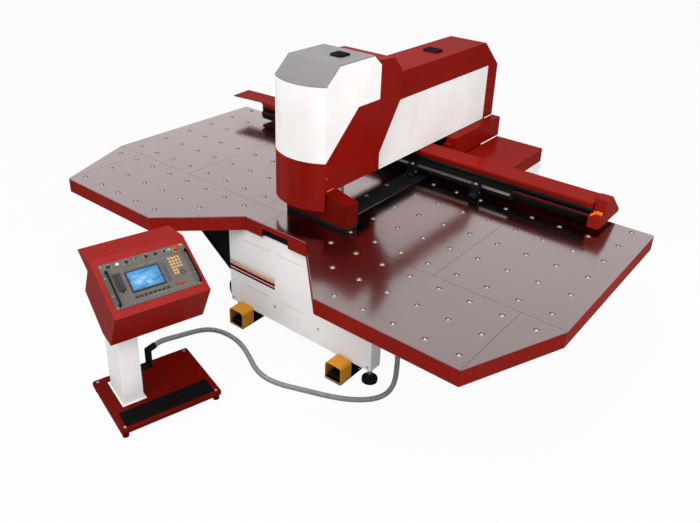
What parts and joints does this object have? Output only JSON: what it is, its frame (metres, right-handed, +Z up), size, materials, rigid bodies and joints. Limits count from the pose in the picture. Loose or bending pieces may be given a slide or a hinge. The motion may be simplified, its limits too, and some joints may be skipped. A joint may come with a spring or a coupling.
{
  "type": "turret punch press",
  "caption": "Turret punch press with a cut-corner ball table, arched frame, punching head, gauge beam, foot pedals and a console on a stand.",
  "frame": {"origin": "on the floor, under the middle of the whole machine, on the mid-plane of the frame", "axes": "+X along the gauge beam to the right as seen from the front, +Y from the front to the back, +Z up"},
  "size_m": [3.84, 3.8504, 1.919],
  "materials": {
    "red_paint": "semi-gloss",
    "white_paint": "semi-gloss",
    "panel_paint": "satin",
    "grey_paint": "satin",
    "frame_paint": "satin",
    "table_plate": "satin",
    "black_brush": "matte",
    "bright_steel": "ground",
    "black_metal": "matte",
    "yellow_paint": "semi-gloss",
    "treadle_rubber": "matte",
    "hose_grey": "satin",
    "cable_black": "satin",
    "screen": "gloss",
    "black_plastic": "satin",
    "button_white": "gloss",
    "button_grey": "gloss",
    "stop_red": "gloss"
  },
  "bodies": {
    "machine": {"arm_cover": "red_paint", "arm_side_panels": "white_paint", "ball_transfers": "bright_steel", "brush_panels": "black_brush", "c_frame": "frame_paint", "centre_plate": "table_plate", "console_base": "red_paint", "console_box": "red_paint", "console_column": "white_paint", "console_hose": "hose_grey", "console_panel": "panel_paint", "floor_feet": "black_metal", "front_base": "white_paint", "guard_brush": "black_brush", "head_front_cover": "white_paint", "head_lower_cover": "red_paint", "head_rear_cover": "red_paint", "head_top_cover": "grey_paint", "hose_elbow": "black_metal", "junction_box": "white_paint", "panel_handles": "black_metal", "pedal_bases": "black_metal", "pedal_cable": "cable_black", "pedal_hoods": "yellow_paint", "ram_housing": "frame_paint", "rear_cabinet": "white_paint", "screen_unit": "screen", "table_bearers": "frame_paint", "table_plates": "table_plate", "table_skirts": "red_paint", "tool_guard": "red_paint", "top_vents": "black_metal", "tread_strip": "black_brush", "wing_gussets": "frame_paint", "y_guides": "red_paint"},
    "beam": {"beam_body": "red_paint", "beam_cover": "red_paint", "beam_end_cap": "red_paint"},
    "carriage": {"carriage": "black_metal", "gauge_bar": "bright_steel"},
    "clamp_a": {"clamp_left": "black_metal"},
    "clamp_b": {"clamp_right": "black_metal"},
    "jaw_a": {"jaw_left": "black_metal"},
    "jaw_b": {"jaw_right": "black_metal"},
    "ram": {"ram": "bright_steel"},
    "turret": {"turret_head": "bright_steel"},
    "die": {"die_disc": "bright_steel"},
    "treadle_a": {"treadle_left": "treadle_rubber"},
    "treadle_b": {"treadle_right": "treadle_rubber"},
    "door": {"cabinet_door": "white_paint"},
    "door_latch": {"door_handle": "black_metal"},
    "knob_a": {"knob_1": "black_plastic"},
    "knob_b": {"knob_2": "black_plastic"},
    "knob_c": {"knob_3": "black_plastic"},
    "knob_d": {"knob_4": "black_plastic"},
    "button_a": {"button_1": "button_white"},
    "button_b": {"button_2": "black_plastic"},
    "button_c": {"button_3": "button_grey"},
    "key": {"key_switch": "black_plastic"},
    "stop": {"emergency_stop": "stop_red"}
  },
  "joints": [
    {"name": "beam_feed", "type": "slide", "parent": "machine", "child": "beam", "axis": [0, 1, 0], "range_m": [-0.54, 0.05]},
    {"name": "carriage_feed", "type": "slide", "parent": "beam", "child": "carriage", "axis": [1, 0, 0], "range_m": [-1.45, 0.54]},
    {"name": "clamp_a_set", "type": "slide", "parent": "carriage", "child": "clamp_a", "axis": [1, 0, 0], "range_m": [-0.12, 0.2]},
    {"name": "clamp_b_set", "type": "slide", "parent": "carriage", "child": "clamp_b", "axis": [1, 0, 0], "range_m": [-0.2, 0.22]},
    {"name": "jaw_a_grip", "type": "hinge", "parent": "clamp_a", "child": "jaw_a", "pos_m": [0.177, 0.69024, 0.892], "axis": [1, 0, 0], "range_deg": [-10, 0]},
    {"name": "jaw_b_grip", "type": "hinge", "parent": "clamp_b", "child": "jaw_b", "pos_m": [0.727, 0.69024, 0.892], "axis": [1, 0, 0], "range_deg": [-10, 0]},
    {"name": "ram_stroke", "type": "slide", "parent": "machine", "child": "ram", "axis": [0, 0, 1], "range_m": [-0.033, 0]},
    {"name": "turret_index", "type": "hinge", "parent": "ram", "child": "turret", "pos_m": [0, -0.07576, 0.98], "axis": [0, 0, 1], "range_deg": [0, 300]},
    {"name": "die_index", "type": "hinge", "parent": "machine", "child": "die", "pos_m": [0, -0.07576, 0.82], "axis": [0, 0, 1], "range_deg": [0, 300]},
    {"name": "treadle_a_press", "type": "hinge", "parent": "machine", "child": "treadle_a", "pos_m": [-0.296, -0.63976, 0.04], "axis": [1, 0, 0], "range_deg": [0, 12], "stiffness_Nm_per_rad": 8, "springref_deg": -6.88},
    {"name": "treadle_b_press", "type": "hinge", "parent": "machine", "child": "treadle_b", "pos_m": [0.605, -0.65276, 0.04], "axis": [1, 0, 0], "range_deg": [0, 12], "stiffness_Nm_per_rad": 8, "springref_deg": -6.88},
    {"name": "door_swing", "type": "hinge", "parent": "machine", "child": "door", "pos_m": [0.69, 1.90424, 0.4], "axis": [0, 0, 1], "range_deg": [-100, 0]},
    {"name": "latch_turn", "type": "hinge", "parent": "door", "child": "door_latch", "pos_m": [0.302, 1.91924, 0.461], "axis": [0, -1, 0], "range_deg": [0, 90]},
    {"name": "knob_a_turn", "type": "hinge", "parent": "machine", "child": "knob_a", "pos_m": [-0.13637, -1.77514, 1.01877], "axis": [0.4524, -0.1255, 0.8829], "range_deg": [-150, 150]},
    {"name": "knob_b_turn", "type": "hinge", "parent": "machine", "child": "knob_b", "pos_m": [-0.10938, -1.67782, 1.01877], "axis": [0.4524, -0.1255, 0.8829], "range_deg": [-150, 150]},
    {"name": "knob_c_turn", "type": "hinge", "parent": "machine", "child": "knob_c", "pos_m": [-0.07971, -1.57085, 1.01877], "axis": [0.4524, -0.1255, 0.8829], "range_deg": [-150, 150]},
    {"name": "knob_d_turn", "type": "hinge", "parent": "machine", "child": "knob_d", "pos_m": [-0.06502, -1.51785, 1.01877], "axis": [0.4524, -0.1255, 0.8829], "range_deg": [-150, 150]},
    {"name": "button_a_press", "type": "slide", "parent": "machine", "child": "button_a", "axis": [0.4524, -0.1255, 0.8829], "range_m": [-0.003, 0], "stiffness_N_per_m": 300},
    {"name": "button_b_press", "type": "slide", "parent": "machine", "child": "button_b", "axis": [0.4524, -0.1255, 0.8829], "range_m": [-0.003, 0], "stiffness_N_per_m": 300},
    {"name": "button_c_press", "type": "slide", "parent": "machine", "child": "button_c", "axis": [0.4524, -0.1255, 0.8829], "range_m": [-0.003, 0], "stiffness_N_per_m": 300},
    {"name": "key_turn", "type": "hinge", "parent": "machine", "child": "key", "pos_m": [-0.05139, -1.46871, 1.01877], "axis": [0.4524, -0.1255, 0.8829], "range_deg": [0, 90]},
    {"name": "stop_press", "type": "slide", "parent": "machine", "child": "stop", "axis": [0.4524, -0.1255, 0.8829], "range_m": [-0.006, 0], "stiffness_N_per_m": 500}
  ],
  "couplings": [
    {"joint": "die_index", "follows": "turret_index", "ratio": 1}
  ]
}
